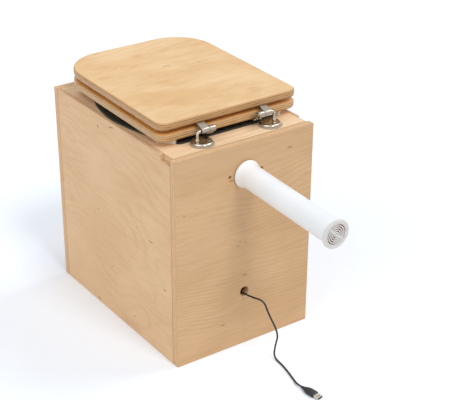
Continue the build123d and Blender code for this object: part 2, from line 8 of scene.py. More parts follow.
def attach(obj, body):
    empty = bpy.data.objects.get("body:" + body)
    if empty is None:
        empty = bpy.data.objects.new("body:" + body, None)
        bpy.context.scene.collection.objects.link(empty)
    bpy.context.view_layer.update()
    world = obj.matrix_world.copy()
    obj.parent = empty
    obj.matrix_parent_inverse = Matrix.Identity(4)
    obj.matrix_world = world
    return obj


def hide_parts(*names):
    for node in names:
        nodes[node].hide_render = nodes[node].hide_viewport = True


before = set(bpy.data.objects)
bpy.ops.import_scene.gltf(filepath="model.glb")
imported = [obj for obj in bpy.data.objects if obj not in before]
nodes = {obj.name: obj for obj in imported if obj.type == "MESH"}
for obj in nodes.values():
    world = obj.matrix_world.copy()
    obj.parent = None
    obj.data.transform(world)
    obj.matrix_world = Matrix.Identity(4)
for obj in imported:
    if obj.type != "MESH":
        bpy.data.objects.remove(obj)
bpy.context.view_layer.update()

# ---------------------------------------------------------------- camera
# It stands behind and beside the box, looks down on the lid over the rear corner,
# and leans a little to its left. The box sits low and right in its frame.
def placed(name, data):
    """A new object that shows the data, in the scene."""
    made = bpy.data.objects.new(name, data)
    scene.collection.objects.link(made)
    return made


scene = bpy.context.scene
camera_at = (1.1899, 1.8363, 1.3261)
camera_turn, camera_down, camera_lean = radians(146.81), radians(28.72), radians(-0.69)
camera = bpy.data.cameras.new("camera")
camera.sensor_width = 36.0
camera.lens = 97.07
camera.shift_x, camera.shift_y = 0.0878, 0.0916
camera_stand = placed("camera", camera)
camera_stand.matrix_world = (
    Matrix.Translation(camera_at)
    @ Matrix.Rotation(camera_turn, 4, "Z")
    @ Matrix.Rotation(pi / 2 - camera_down, 4, "X")
    @ Matrix.Rotation(camera_lean, 4, "Z")
)
scene.camera = camera_stand


# ---------------------------------------------------------------- plywood box
# Front, rear and two sides of 15 mm birch plywood, glued at the corners. The faces are
# rotary-cut veneer with wide wandering figure, and the cut edges show the plies.
def socket_of(sockets, key):
    """The socket with that identifier, place or name."""
    if isinstance(key, int):
        return sockets[key]
    words = key.replace("_", " ")
    return next(s for s in sockets if s.identifier == key or (s.enabled and s.name == words))


def maths(operation, swapped=False):
    """An operator that adds one Math node to the tree of a signal."""
    def act(self, other):
        pair = (other, self) if swapped else (self, other)
        return self.net.add("Math", {"operation": operation}, *pair)
    return act


class Signal:
    """What leaves a node's socket. Arithmetic on it adds Math nodes to its tree."""

    __add__ = __radd__ = maths("ADD")
    __mul__ = __rmul__ = maths("MULTIPLY")
    __sub__, __rsub__ = maths("SUBTRACT"), maths("SUBTRACT", swapped=True)
    __truediv__, __pow__, __gt__ = maths("DIVIDE"), maths("POWER"), maths("GREATER_THAN")

    def __init__(self, net, socket):
        self.net, self.socket = net, socket

    def pick(self, name):
        return Signal(self.net, socket_of(self.socket.node.outputs, name))

    def math(self, operation, *others):
        return self.net.add("Math", {"operation": operation}, self, *others)

    def within(self, low, high):
        """0 below low, 1 above high, and smooth between them."""
        settings = {"interpolation_type": "SMOOTHSTEP"}
        return self.net.add("MapRange", settings, Value=self, From_Min=low, From_Max=high)


class Net:
    """A tree of nodes that is built by adding one node after another. A shader node's kind is
    given without its prefix."""

    def __init__(self, tree):
        self.tree = tree

    def add(self, kind, settings=None, *values, **named):
        whole = kind.startswith(("Geometry", "NodeGroup"))
        node = self.tree.nodes.new(kind if whole else "ShaderNode" + kind)
        for key, value in (settings or {}).items():
            setattr(node, key, value)
        for key, value in [*enumerate(values), *named.items()]:
            socket = socket_of(node.inputs, key)
            if isinstance(value, Signal):
                self.tree.links.new(value.socket, socket)
            elif isinstance(value, (tuple, list)) and isinstance(value[0], Signal):
                for signal in value:
                    self.tree.links.new(signal.socket, socket)
            else:
                socket.default_value = value
        shown = [s for s in node.outputs if s.enabled]
        return Signal(self, shown[0]) if shown else node


def colour(red, green, blue):
    """Linear colour of a screen colour given from 0 to 255."""
    parts = [c / 255 for c in (red, green, blue)]
    return tuple(p / 12.92 if p <= 0.04045 else ((p + 0.055) / 1.055) ** 2.4 for p in parts) + (1.0,)


def colours(*screen):
    return tuple(colour(*one) for one in screen)


class Finish(Net):
    """A material: one Principled shader and the nodes that vary it over the surface."""

    def __init__(self, name, base, **constants):
        self.material = bpy.data.materials.new(name)
        self.material.use_nodes = True
        super().__init__(self.material.node_tree)
        self.shader = next(n for n in self.tree.nodes if n.type == "BSDF_PRINCIPLED")
        self.shader.inputs["Base Color"].default_value = base
        for key, value in constants.items():
            socket_of(self.shader.inputs, key).default_value = value
        self.place = self.add("TexCoord").pick("Object")

    def feed(self, **signals):
        for key, signal in signals.items():
            self.tree.links.new(signal.socket, socket_of(self.shader.inputs, key))

    def parts(self, vector):
        made = self.add("SeparateXYZ", None, vector)
        return {axis: made.pick(axis) for axis in "XYZ"}

    def vector(self, x, y, z):
        return self.add("CombineXYZ", None, x, y, z)

    def noise(self, where, detail=2.0, roughness=0.5, scale=1.0):
        values = {"Vector": where, "Scale": scale, "Detail": detail, "Roughness": roughness}
        return self.add("TexNoise", None, **values)

    def grain(self, scale, detail=2.0):
        return self.noise(self.place, detail, scale=scale)

    def mix(self, share, first, second):
        values = {"Factor_Float": share, "A_Color": first, "B_Color": second}
        return self.add("Mix", {"data_type": "RGBA"}, **values).pick("Result_Color")

    def bump(self, height, distance, strength=1.0):
        values = {"Strength": strength, "Distance": distance, "Height": height}
        self.feed(Normal=self.add("Bump", None, **values))


def plywood(name, sheet, grain, span, tone, edge, seed, rings=40.0, wander=9.0, figure=0.3, flame=0.0,
            marks=(), knots=(), lean=0.0, **gloss):
    """Birch plywood. sheet is the axis through its thickness and span where that starts, one ply's
    thickness and how many there are. grain is the axis of the face veneer's fibres. tone holds the
    face's light, middle and dark colour, edge the light, dark, speck and arris colour of the cut.
    rings is how many growth rings the veneer shows per metre, wander how far they stray, figure how
    strong they are and flame how strong the orange veins. marks are (along, across, half length,
    half width, turn, strength), knots (along, across, radius, rings pushed aside), both in
    millimetres. lean is how far the board is tilted up in front, about the hinge axis."""
    wood = Finish(name, tone[1], **gloss)
    if lean:
        pivot = (0.0, axis_y, axis_z)
        untilt = (-lean, 0.0, 0.0)
        level = wood.add("Mapping", {"vector_type": "TEXTURE"}, wood.place, pivot, untilt)
        wood.place = wood.add("VectorMath", {"operation": "ADD"}, level, pivot)
    xyz = wood.parts(wood.place)
    spare = next(a for a in "XYZ" if a not in (sheet, grain))
    along, across, depth = xyz[grain], xyz[spare], xyz[sheet]
    flat = wood.vector(along, across, 0.0)

    def reach(run, cross, half_length, half_width, turn=0.0):
        """Distance from a place, 1 on the ellipse round it."""
        spot, turned = (run / 1000, cross / 1000, 0.0), (0.0, 0.0, radians(turn))
        size = (half_length / 1000, half_width / 1000, 1.0)
        where = wood.add("Mapping", {"vector_type": "TEXTURE"}, flat, spot, turned, size)
        return wood.add("VectorMath", {"operation": "LENGTH"}, where).pick("Value")

    def cloudy(lengthwise, crosswise, shift, detail=2.0, roughness=0.5, slide=0.0):
        where = wood.vector(along * lengthwise + slide, across * crosswise, seed + shift)
        return wood.noise(where, detail, roughness)

    # growth rings that the rotary knife lays out as wide loops and waves
    drift = cloudy(2.6, 4.2, 0.0, 2.0, 0.45, slide=seed)
    flutter = cloudy(16.0, 40.0, 3.0)
    phase = across * rings + drift * wander + flutter * 0.5
    for knot_along, knot_across, radius, push in knots:
        phase = phase + (1.0 - reach(knot_along, knot_across, radius * 2.0, radius).within(0.0, 1.0)) * push
    wave = (phase * (2 * pi)).math("SINE") * 0.5 + 0.5
    shown = cloudy(5.0, 8.0, 7.0, 1.0).within(0.38, 0.66)
    contour = (wave ** 5.0) * (shown * 0.8 + 0.2)
    soft = wave * 0.4 * shown
    # fibres, pores and cloudy patches
    fibre = cloudy(45.0, 900.0, 11.0, 3.0, 0.6)
    streak = cloudy(14.0, 170.0, 2.0, 3.0, 0.6)
    cloud = cloudy(6.0, 10.0, 5.0, 3.0, 0.55, slide=seed)
    face = wood.mix(cloud.within(0.30, 0.70), tone[0], tone[1])
    face = wood.mix((contour + soft) * figure, face, tone[2])
    face = wood.mix(streak.within(0.42, 0.78) * 0.22 + fibre.within(0.5, 0.85) * 0.16, face, tone[2])
    if flame:
        lick = cloudy(22.0, 60.0, 9.0, 3.0, 0.6, slide=seed).within(0.56, 0.74) * cloud.within(0.36, 0.62)
        face = wood.mix(lick * flame, face, colour(206, 140, 78))
        pale = cloudy(9.0, 16.0, 1.0, slide=seed)
        face = wood.mix(pale.within(0.56, 0.76) * 0.6, face, tone[0])
    # short brown flecks, few and scattered
    scattered = wood.vector(along * 30.0, across * 90.0, seed)
    cells = wood.add("TexVoronoi", None, Vector=scattered, Scale=1.0)
    lucky = wood.parts(cells.pick("Color"))["X"] > 0.984
    fleck = (1.0 - cells.pick("Distance").within(0.08, 0.26)) * lucky
    face = wood.mix(fleck * 0.55, face, colour(150, 96, 56))
    # marks are dark streaks in the veneer, and some are painted shadow: thin dark lines along the joints with
    # the next part.
    for *where, strength in marks:
        face = wood.mix((1.0 - reach(*where).within(0.55, 1.25)) * strength, face, colour(112, 62, 32))
    # plies, seen where the surface turns away from the sheet's face
    start, ply, plies = span
    layer = (depth - start) / ply
    index = layer.math("FLOOR")
    inside = layer - index
    odd = (index + 50.0).math("MODULO", 2.0)
    own = wood.add("TexWhiteNoise", {"noise_dimensions": "1D"}, W=index + seed).pick("Value")
    speck = wood.noise(wood.vector(along * 70.0, across * 70.0, depth * 560.0), 3.0, 0.7)
    cut = wood.mix(odd * 0.7 + own * 0.3, edge[0], edge[1])
    cut = wood.mix(speck.within(0.42, 0.72) * (odd * 0.5 + 0.25), cut, edge[2])
    glue = 1.0 - (inside * (1.0 - inside)).within(0.0, 0.09)
    cut = wood.mix(glue * 0.40, cut, edge[2])
    cut = wood.mix((1.0 - (layer * (plies - layer)).within(0.0, 0.8 * plies)) * 0.75, cut, edge[3])
    normal = wood.add("TexCoord").pick("Normal")
    is_face = wood.parts(normal)[sheet].math("ABSOLUTE").within(0.78, 0.93)
    arris = is_face * (1.0 - is_face) * 3.0
    surface = wood.mix(arris.math("MINIMUM", 0.75), wood.mix(is_face, cut, face), edge[3])
    wood.feed(Base_Color=surface)
    relief = fibre * 0.5 + contour * 0.12 - glue * (1.0 - is_face) * 0.8
    wood.bump(relief, 0.00018, 0.55)
    return wood.material


def dress(material, *names):
    """Gives CAD nodes their material."""
    for name in names:
        nodes[name].data.materials.clear()
        nodes[name].data.materials.append(material)


board_thick = 0.015
axis_y, axis_z = 0.180, 0.455
# Painted light: front, rear and sides are the same plywood, but the sides get a lighter tone and the front
# and rear a darker one, for the light that falls on them.
lit_side_tone = colours((236, 201, 161), (229, 191, 150), (196, 153, 110))
shaded_end_tone = colours((219, 182, 141), (209, 171, 129), (176, 134, 93))
box_edge = colours((232, 196, 155), (222, 183, 140), (186, 142, 100), (200, 152, 112))
box_plies = 7
box_ply = board_thick / box_plies
box_gloss = {"Roughness": 0.58, "Specular_IOR_Level": 0.22}
half_width, half_length = 0.155, 0.222
side_marks_and_joint_shade = (
    (-48, 405, 4.1, 1.5, -50, 0.75), (3, 420, 9, 1.3, 13, 0.7), (-182, 360, 20, 0.7, 4, 0.3),
    (-103, 386, 1.7, 0.9, -62, 0.5), (-96, 376, 3.3, 0.9, -59, 0.45), (-93, 358, 2, 1, -18, 0.5),
    (-205, 230, 4.7, 1.3, -70, 0.7), (-186, 231, 8.5, 0.8, 5, 0.35), (-78, 210, 8.9, 0.9, -38, 0.45),
    (-62, 221, 5, 1.1, 10, 0.45), (88, 246, 3.1, 1, -22, 0.45), (135, 235, 8.1, 1.2, -1, 0.7),
    (-15, 112, 2.3, 1, -14, 0.6), (9, 117, 2.2, 0.9, 0, 0.55), (52, 156, 2.8, 1, -2, 0.45),
    (-75, 7, 6.3, 1.6, -14, 0.75), (181, 152, 4.4, 1.5, -5, 0.75), (68, 36, 3.4, 1.3, 8, 0.65),
    # Painted shadow: a thin dark line down the end of the side face, where it meets the rear panel.
    (206.8, 0, 340, 1.2, 90, 0.70),
)
side_knots = ((-164, 164, 40, 2.2), (127, 104, 35, 2.0), (180, 97, 20, 1.2))
end_marks = (
    (-141, 330, 5.7, 1, 80, 0.3), (50, 58, 5.5, 1.2, 7, 0.6), (136, 320, 3.4, 1, 5, 0.45),
    (108, 327, 2.3, 0.8, 3, 0.4), (-28, 251, 2.5, 0.8, 4, 0.45), (16, 222, 4, 1.2, 2, 0.5),
    (-2, 224, 3.9, 1, 59, 0.35), (11, 230, 2.3, 1, -9, 0.3), (36, 370, 3.4, 3.4, 0, 0.9),
    (-36, 370, 3.4, 3.4, 0, 0.9),
)
end_knots = ((7, 226, 24, 1.8), (96, 207, 40, 2.4))
side_run = {"rings": 26.0, "wander": 24.0, "figure": 0.125, "marks": side_marks_and_joint_shade, "knots": side_knots}
end_run = {"rings": 108.0, "wander": 15.0, "figure": 0.15, "marks": end_marks, "knots": end_knots}
for panel, axes, low, tone, seed, run in (
    ("right_side_panel", "XY", half_width - board_thick, lit_side_tone, 1.7, side_run),
    ("left_side_panel", "XY", -half_width, lit_side_tone, 1.7, side_run),
    ("rear_panel", "YX", half_length - board_thick, shaded_end_tone, 4.4, end_run),
    ("front_panel", "YX", -half_length, shaded_end_tone, 4.4, end_run),
):
    span = (low, box_ply, box_plies)
    dress(plywood(panel, *axes, span, tone, box_edge, seed + low, **run, **box_gloss), panel)

# ---------------------------------------------------------------- inside of the box
# Base of plain birch plywood, square glue blocks in the corners, two cleats that carry the
# board's ends, and low rails that keep bin and canister in place.
thin_ply, thin_plies = 0.0024, 5
plain_tone = colours((224, 194, 156), (212, 178, 138), (180, 142, 104))
end_grain = (*plain_tone, plain_tone[1])
base_span, solid_span = (0.0, thin_ply, thin_plies), (-0.3, 0.5, 2)
dress(plywood("base_panel", "Z", "Y", base_span, plain_tone, box_edge, 9.1, **box_gloss), "base_panel")
dress(plywood("inner_timber", "Y", "Z", solid_span, plain_tone, end_grain, 6.3, rings=150.0, wander=4.0,
              **box_gloss), "glue_blocks", "board_cleats", "container_rails")

# ---------------------------------------------------------------- solids bin and urine canister
# A dark tapered tub and a pale blow-moulded canister with a wide neck, both of matt plastic
# with the fine grain of their moulds.
def moulded(name, base, shade, grain=900.0, **gloss):
    """Moulded plastic: a fine even grain and a faint change of shade."""
    plastic = Finish(name, base, **gloss)
    skin, drift = plastic.grain(grain), plastic.grain(9.0)
    plastic.feed(Base_Color=plastic.mix(drift.within(0.3, 0.7), base, shade))
    plastic.feed(Roughness=drift * 0.12 + (gloss.get("Roughness", 0.4) - 0.06))
    plastic.bump(skin, 0.00008, 0.5)
    return plastic.material


dress(moulded("bin_plastic", colour(46, 48, 50), colour(38, 40, 42), Roughness=0.55), "solids_bin")
canister_white = colours((226, 229, 224), (214, 218, 212))
dress(moulded("canister_plastic", *canister_white, Roughness=0.45), "urine_canister")

# ---------------------------------------------------------------- lift-off top board
# A 12 mm birch board, sanded and left pale, that lies between the side panels' lips.
board_tone = colours((246, 218, 182), (241, 209, 171), (214, 174, 130))
board_edge = colours((236, 204, 166), (226, 190, 148), (176, 134, 96), (200, 156, 116))
board_span = (0.418, thin_ply, thin_plies)
# Painted shadow: thin dark lines where the board meets the rear panel and the side panels.
board_joint_shade = (
    (0, 206.6, 300, 1.2, 0, 0.65), (148, 0, 400, 1.2, 90, 0.5), (-148, 0, 400, 1.2, 90, 0.5),
)
dress(plywood("top_board", "Z", "X", board_span, board_tone, board_edge, 2.6, marks=board_joint_shade, rings=70.0,
              wander=6.0, figure=0.25, **box_gloss), "top_board")

# ---------------------------------------------------------------- urine-diverting insert
# One moulding of near-black plastic: an egg-shaped flange on the board, a bowl with its spout
# in front and an open chute behind.
dress(moulded("insert_plastic", colour(40, 41, 34), colour(32, 33, 28), Roughness=0.5), "diverter_insert")


# ---------------------------------------------------------------- hinge washers and rosettes
# Under each hinge lies a clear washer, and on it a polished disc with a rounded edge and a
# slightly dished face. Both are turned about the stud.
def piece(name, bm, body, material, replaced, sharp=38.0, place=None):
    """Makes a built shape a shaded piece that rides on its body and stands for a CAD node."""
    fit(name, as_mesh(name, bm, place), body, material, replaced, sharp)


def as_mesh(name, bm, place=None):
    """Joins, moves and turns outwards the faces of a built shape, which becomes a mesh."""
    bmesh.ops.remove_doubles(bm, verts=bm.verts, dist=1e-7)
    if place:
        bmesh.ops.transform(bm, matrix=place, verts=bm.verts)
    bmesh.ops.recalc_face_normals(bm, faces=bm.faces)
    mesh = bpy.data.meshes.new(name)
    bm.to_mesh(mesh)
    bm.free()
    return mesh


def fit(name, mesh, body, material, replaced, sharp=38.0):
    mesh.shade_smooth()
    mesh.set_sharp_from_angle(angle=radians(sharp))
    mesh.materials.clear()
    mesh.materials.append(material)
    made = placed(name, mesh)
    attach(made, body)
    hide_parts(replaced)


def skin(loops, closed=False, capped=False, bm=None):
    """Quads between loops of equal length, as a new shape or added to one. closed joins the last
    to the first, capped fills the ends."""
    bm = bmesh.new() if bm is None else bm
    rows = [[bm.verts.new(p) for p in loop] for loop in loops]
    for low, high in zip(rows, rows[1:] + (rows[:1] if closed else [])):
        for i, start in enumerate(low):
            j = (i + 1) % len(low)
            bm.faces.new((start, low[j], high[j], high[i]))
    if capped:
        bm.faces.new(rows[0][::-1])
        bm.faces.new(rows[-1])
    return bm


def turned_loops(profile, centre=(0.0, 0.0, 0.0), steps=96, axis="Z"):
    """Loops of a turned shape: profile is (radius, height along the axis), centre a point on it."""
    loops = []
    for radius, height in profile:
        ring = [(radius * cos(a), radius * sin(a)) for a in [2 * pi * i / steps for i in range(steps)]]
        loop = [(x, y, height) if axis == "Z" else (x, height, y) for x, y in ring]
        loops.append([Vector(p) + Vector(centre) for p in loop])
    return loops


def quarter(steps):
    """Angles of a quarter turn."""
    return [pi / 2 * i / steps for i in range(steps + 1)]


def rounded_corner(radius, height, size, up=1, steps=5):
    """Profile points of a rounded outer edge that ends flat at height."""
    return [(radius - size * (1 - cos(t)), height - up * size * (1 - sin(t))) for t in quarter(steps)]


def metal(name, base, roughness, wear=0.10):
    """Plated or bare metal: fine rubbing marks and a little dullness in patches."""
    plate = Finish(name, base, Metallic=1.0, Roughness=roughness)
    plate.feed(Roughness=plate.grain(160.0, 3.0) * wear + (roughness - wear / 2))
    plate.bump(plate.grain(2400.0, 1.0), 0.00003, 0.25)
    return plate.material


seat_x, hinge_dx, hinge_y = -0.0075, 0.0762, 0.181
board_top = 0.430
washer_radius, washer_thick, stud_radius = 0.0234, 0.002, 0.0042
disc_radius, disc_thick, disc_edge, disc_dish = 0.0206, 0.005, 0.0036, 0.0005
foot_round, dish_steps = 0.0003, 14
clear_washer = Finish("clear_washer", colour(236, 222, 202), Roughness=0.35, Alpha=0.5)
clear_washer.bump(clear_washer.grain(260.0), 0.0001, 0.3)
polished = metal("polished_plate", colour(188, 180, 166), 0.09, wear=0.05)
sides = (("right", 1), ("left", -1))
for side, sign in sides:
    centre = (seat_x + sign * hinge_dx, hinge_y, board_top)
    rim = [(stud_radius, 0.0), *rounded_corner(washer_radius, 0.0, foot_round, up=-1)[::-1]]
    rim += [*rounded_corner(washer_radius, washer_thick, 0.0008), (stud_radius, washer_thick)]
    piece(side + "_washer", skin(turned_loops(rim, centre), closed=True), "board",
          clear_washer.material, side + "_hinge_washer")

    flat = washer_thick + disc_thick
    disc = [(0.0, washer_thick), *rounded_corner(disc_radius, washer_thick, foot_round, up=-1)[::-1]]
    disc += rounded_corner(disc_radius, flat, disc_edge, steps=12)
    for t in [1 - i / dish_steps for i in range(1, dish_steps + 1)]:
        disc.append(((disc_radius - disc_edge) * t, flat - disc_dish * (1 - t ** 2) ** 2))
    piece(side + "_disc", skin(turned_loops(disc, centre)), "board", polished,
          side + "_rosette", sharp=50)

# ---------------------------------------------------------------- hinge pins
# A 6 mm bar stands on a ball in each disc, bends inwards and is the pin on which seat and
# lid turn. Its free end is rounded.
bar_radius, bend_radius, ball_radius, ball_z, ball_top = 0.00298, 0.006, 0.0039, 0.4388, 0.0034
corner, tip, tip_round, bar_steps = hinge_dx + 0.010, hinge_dx - 0.0286, 0.0008, 32
stations = []
for i in range(19):
    height = ball_z + ball_radius * 0.98 * sin(radians(-62 + i * 6.9))
    stations.append((corner, height, sqrt(ball_radius ** 2 - (height - ball_z) ** 2), 0.0))
stations = [s for s in stations if s[1] < ball_z or s[2] > bar_radius]
stations.append((corner, ball_z + ball_top, bar_radius, 0.0))
for a in quarter(16):
    x, z = corner - bend_radius * (1 - cos(a)), axis_z - bend_radius * (1 - sin(a))
    stations.append((x, z, bar_radius, a))
for a in quarter(5):
    thinner = tip_round * (1 - cos(a))
    stations.append((tip + tip_round * (1 - sin(a)), axis_z, bar_radius - thinner, pi / 2))
stations.append((tip, axis_z, 0.0, pi / 2))
stations.insert(0, (corner, stations[0][1], 0.0, 0.0))
ring = [2 * pi * k / bar_steps for k in range(bar_steps)]
for side, sign in sides:
    loops = [[(seat_x + sign * (x + radius * cos(b) * cos(lean)), axis_y + radius * sin(b),
               z + radius * cos(b) * sin(lean)) for b in ring] for x, z, radius, lean in stations]
    piece(side + "_pin", skin(loops), "board", polished, side + "_hinge_pin", sharp=50)


# ---------------------------------------------------------------- hinge leaves
# Straps of 2 mm steel, let into the undersides of seat and lid and rolled round the pin behind
# them. The seat's strap comes up to the pin from below, and its eye is cut back at one side.
def arc(centre, radius, start, stop, steps):
    turns = [radians(start + (stop - start) * i / steps) for i in range(steps + 1)]
    return [(centre[0] + radius * cos(t), centre[1] + radius * sin(t)) for t in turns]


def rounded_rect(width, depth, corner, steps=5):
    """Points of a rounded rectangle about the origin."""
    points = []
    for sx, sy, start in ((1, -1, -90), (1, 1, 0), (-1, 1, 90), (-1, -1, 180)):
        centre = (sx * (width / 2 - corner), sy * (depth / 2 - corner))
        points += arc(centre, corner, start, start + 90, steps)
    return points


def strip_piece(name, path, strap, eye, cut_from, body, replaced):
    """A strap as a mesh of quads along its path. From one point on it is as wide as its eye."""
    points = [Vector(p) for p in path]
    loops = []
    for i, p in enumerate(points):
        before, after = points[max(i - 1, 0)], points[min(i + 1, len(points) - 1)]
        run = (after - before).normalized()
        up = Vector((-run.y, run.x))
        x0, x1 = strap if i < cut_from else eye
        section = rounded_rect(x1 - x0, leaf_thick, leaf_arris, steps=3)
        loops.append([((x0 + x1) / 2 + x, *(p + up * h)) for x, h in section])
    piece(name, skin(loops, capped=True), body, brushed, replaced, sharp=32, place=tilted)


leaf_thick, leaf_width, leaf_front, leaf_arris, eye_step = 0.002, 0.0160, 0.126, 0.00035, 0.0028
eye_radius = 0.0060 - leaf_thick / 2
seat_under, lid_under, seat_tilt = 0.4407, 0.4633, radians(1.18)
seat_leaf_dx, lid_leaf_dx = -0.0306, -0.0140
brushed = metal("brushed_strap", colour(166, 159, 147), 0.30, wear=0.12)
pin_at = (axis_y, axis_z)
about_pins = Matrix.Translation((0.0, axis_y, axis_z))
tilted = about_pins @ Matrix.Rotation(-seat_tilt, 4, "X") @ about_pins.inverted()
seat_z = seat_under + leaf_thick / 2
seat_path = [(leaf_front, seat_z), (0.150, seat_z), (0.1690, seat_z)]
seat_cut = len(seat_path) + 4
seat_path += arc((0.1690, seat_z + 0.0050), 0.0050, -75, 0, 5)
seat_path += [(0.1742, 0.4500)] + arc(pin_at, eye_radius, 186, -145, 44)
lid_z = lid_under + leaf_thick / 2
lid_path = [(leaf_front, lid_z), (0.150, lid_z), (0.1655, lid_z)]
lid_path += arc((0.1655, lid_z - 0.0060), 0.0060, 82, 73, 2)
lid_cut = len(lid_path) + 2
lid_path += arc(pin_at, eye_radius, 78, -185, 42)
for side, sign in sides:
    for what, path, cut, dx, step in (("seat", seat_path, seat_cut, seat_leaf_dx, eye_step),
                                      ("lid", lid_path, lid_cut, lid_leaf_dx, 0.0)):
        strap, eye = [sorted(seat_x + sign * (hinge_dx + dx + shift) for shift in (inner_end, leaf_width))
                      for inner_end in (0.0, step)]
        strip_piece(f"{side}_{what}_strap", path, strap, eye, cut, what, f"{side}_{what}_leaf")

# ---------------------------------------------------------------- seat and lid
# Two boards of one outline, cut from 15 mm birch plywood, their edges rounded over and the
# whole lacquered to a warm honey colour. The seat has an oval hole.
seat_half, seat_front, seat_rear = 0.1553, -0.2123, 0.1637
front_corner, rear_corner = 0.0855, 0.020
edge_round, hole_round = 0.004, 0.005
hole_half_x, hole_half_y, hole_y = 0.102, 0.125, -0.040
outline_step, flat_rim = 0.010, 0.0012


def seat_outline():
    """Outline of seat and lid, with its straights divided."""
    corners = (
        (seat_half - front_corner, seat_front + front_corner, front_corner, -90),
        (seat_half - rear_corner, seat_rear - rear_corner, rear_corner, 0),
        (rear_corner - seat_half, seat_rear - rear_corner, rear_corner, 90),
        (front_corner - seat_half, seat_front + front_corner, front_corner, 180),
    )
    points = []
    for cx, cy, radius, start in corners:
        points += arc((cx, cy), radius, start, start + 90, 28 if radius == front_corner else 14)
    outline = []
    for i, p in enumerate(points):
        q = points[(i + 1) % len(points)]
        parts = max(1, round(hypot(q[0] - p[0], q[1] - p[1]) / outline_step))
        for t in [k / parts for k in range(parts)]:
            outline.append(Vector((seat_x + p[0] + (q[0] - p[0]) * t, p[1] + (q[1] - p[1]) * t, 0.0)))
    return outline


def over_edge(size, top, under, steps=7):
    """(inset, z) from the flat of the top, over a rounded edge, to the flat of the underside."""
    flat = size + flat_rim
    upper = [(size * (1 - sin(t)), top - size * (1 - cos(t))) for t in quarter(steps)]
    lower = [(size * (1 - cos(t)), under + size * (1 - sin(t))) for t in quarter(steps)]
    return [(flat, top), *upper, *lower, (flat, under)]


def outer_loops(top, under):
    base = seat_outline()
    runs = [(base[(i + 1) % len(base)] - base[i - 1]).normalized() for i in range(len(base))]
    return [[Vector((p.x - run.y * inset, p.y + run.x * inset, z)) for p, run in zip(base, runs)]
            for inset, z in over_edge(edge_round, top, under)]


def hole_loop(like, outset, z):
    """The oval hole's edge, with a point on the ray to each point of another loop."""
    a, b = hole_half_x + outset, hole_half_y + outset
    loop = []
    for p in like:
        ray = atan2(p.y - hole_y, p.x - seat_x)
        t = atan2(a * sin(ray), b * cos(ray))
        loop.append(Vector((seat_x + a * cos(t), hole_y + b * sin(t), z)))
    return loop


lid_tone = colours((239, 204, 154), (224, 180, 120), (200, 146, 84))
lid_edge = colours((216, 174, 118), (176, 130, 80), (118, 76, 42), (150, 82, 36))
lacquer = {"Roughness": 0.42, "Specular_IOR_Level": 0.35, "Coat_Weight": 0.25, "Coat_Roughness": 0.20}
lid_marks = (
    (-16, -70, 10.5, 1, -8, 0.8), (36, -45, 6.1, 0.8, 18, 0.5), (-101, 61, 12.7, 0.8, 7, 0.35),
    (-115, -53, 5.6, 1.6, -58, 0.25), (-83, -52, 5.9, 2.2, -64, 0.22), (75, -113, 5, 2.4, -65, 0.25),
    (-24, -141, 8.8, 0.8, -14, 0.2), (-84, -141, 10.6, 0.7, -2, 0.18), (149, -8, 8.7, 2, 87, 0.8),
)
wood_run = {"rings": 34.0, "wander": 13.0, "figure": 0.10, "flame": 0.46, "lean": seat_tilt}
lid_span, seat_span = (lid_under, box_ply, box_plies), (seat_under, box_ply, box_plies)
lid_wood = plywood("lid_wood", "Z", "X", lid_span, lid_tone, lid_edge, 12.4, marks=lid_marks,
                   **wood_run, **lacquer)
# Painted shade: the seat has the lid's finish, but its tone is darker and more orange, as its top lies in the
# shade under the lid.
seat_tone_painted_shade = colours((232, 180, 112), (218, 158, 86), (192, 128, 62))
seat_edge = colours((222, 184, 132), (188, 146, 98), (122, 84, 50), (204, 142, 82))
seat_wood = plywood("seat_wood", "Z", "X", seat_span, seat_tone_painted_shade, seat_edge, 15.9, **wood_run, **lacquer)
shape = skin(outer_loops(lid_under + board_thick, lid_under), capped=True)
piece("lid", shape, "lid", lid_wood, "lid_panel", place=tilted)

seat_top = seat_under + board_thick
rim_loops = outer_loops(seat_top, seat_under)
inner = [hole_loop(rim_loops[0], *step) for step in over_edge(hole_round, seat_top, seat_under)]
shape = skin(rim_loops + inner[::-1], closed=True)
piece("seat", shape, "seat", seat_wood, "seat_ring", place=tilted)


# ---------------------------------------------------------------- bumpers
# Clear rubber blocks stand across the seat's corners and carry it on the board. Four small
# round ones under the lid keep it off the seat. Their rubber is milky and a little uneven.
rubber = Finish("bumper_rubber", colour(240, 236, 228), Roughness=0.34, Subsurface_Weight=0.25,
                Subsurface_Scale=0.004)
haze = rubber.grain(60.0, 1.0).within(0.3, 0.7)
rubber.feed(Base_Color=rubber.mix(haze, *colours((244, 241, 234), (230, 224, 212))))
rubber.bump(rubber.grain(400.0), 0.0001, 0.3)
milky = rubber.material
pad_long, pad_wide, pad_corner, pad_round = 0.036, 0.014, 0.003, 0.0007
pad_foot = board_top + 0.0003
down = tilted.to_3x3() @ Vector((0.0, 0.0, -1.0))
for name, dx, y, turn in (("rear", 0.1255, 0.1393, -45), ("front", 0.1193, -0.1763, 45)):
    shape, spin = bmesh.new(), radians(turn)
    for side, sign in sides:
        loops = []
        for inset, from_top, from_foot in ((pad_round, 0.0, None), (0.0, pad_round, None),
                                           (0.0, None, pad_round), (pad_round, None, 0.0)):
            loop = []
            for px, py in rounded_rect(pad_long - 2 * inset, pad_wide - 2 * inset, pad_corner - inset):
                x = dx + px * cos(spin) - py * sin(spin)
                top = tilted @ Vector((seat_x + sign * x, y + px * sin(spin) + py * cos(spin), seat_under))
                drop = from_top if from_foot is None else (pad_foot - top.z) / down.z - from_foot
                loop.append(top + down * drop)
            loops.append(loop)
        skin(loops, capped=True, bm=shape)
    piece(f"seat_{name}_pads", shape, "seat", milky, f"seat_{name}_bumpers")


